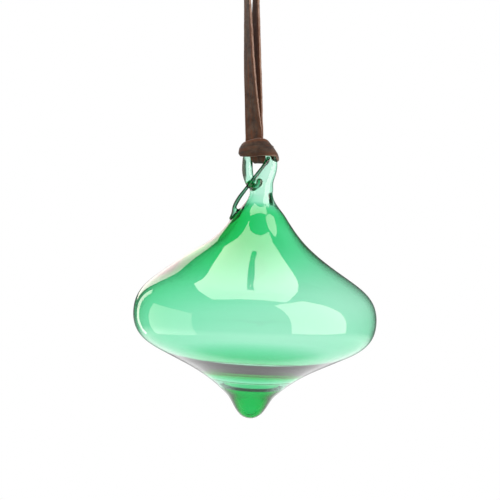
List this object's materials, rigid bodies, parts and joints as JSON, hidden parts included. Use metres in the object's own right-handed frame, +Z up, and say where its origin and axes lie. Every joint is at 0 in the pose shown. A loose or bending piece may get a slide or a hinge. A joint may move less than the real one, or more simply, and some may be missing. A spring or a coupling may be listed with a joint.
{
  "type": "glass teardrop bauble",
  "caption": "Hollow blown-glass teardrop ornament with a drawn glass eye, hung from a flat leather strap that is hitched round the eye and knotted into a loop.",
  "frame": {"origin": "the hanging point, in the crotch of the strap's loop under its knot", "axes": "+Z up, +X to the right and -Y towards the viewer, as the bauble is seen with the thread of its eye running down to the left"},
  "size_m": [0.0898, 0.09, 0.2029],
  "materials": {
    "glass": "clear, tinted in the mass, fire-polished",
    "strap": "matte suede with paler cut edges"
  },
  "bodies": {
    "strap": {"strand_front": "strap", "strand_rear": "strap", "top_knot": "strap", "strap_tail_left": "strap", "strap_tail_right": "strap"},
    "hitch": {"hitch_band": "strap", "hitch_turn_front": "strap", "hitch_turn_rear": "strap"},
    "bauble": {"glass_bulb": "glass", "glass_eye": "glass"}
  },
  "joints": [
    {"name": "bauble_spin", "type": "hinge", "parent": "strap", "child": "hitch", "pos_m": [0, 0, -0.075], "axis": [0, 0, 1], "range_deg": [-90, 90]},
    {"name": "eye_swing", "type": "hinge", "parent": "hitch", "child": "bauble", "pos_m": [0.0016, 0, -0.08], "axis": [1, 0, 0], "range_deg": [-20, 20]}
  ]
}
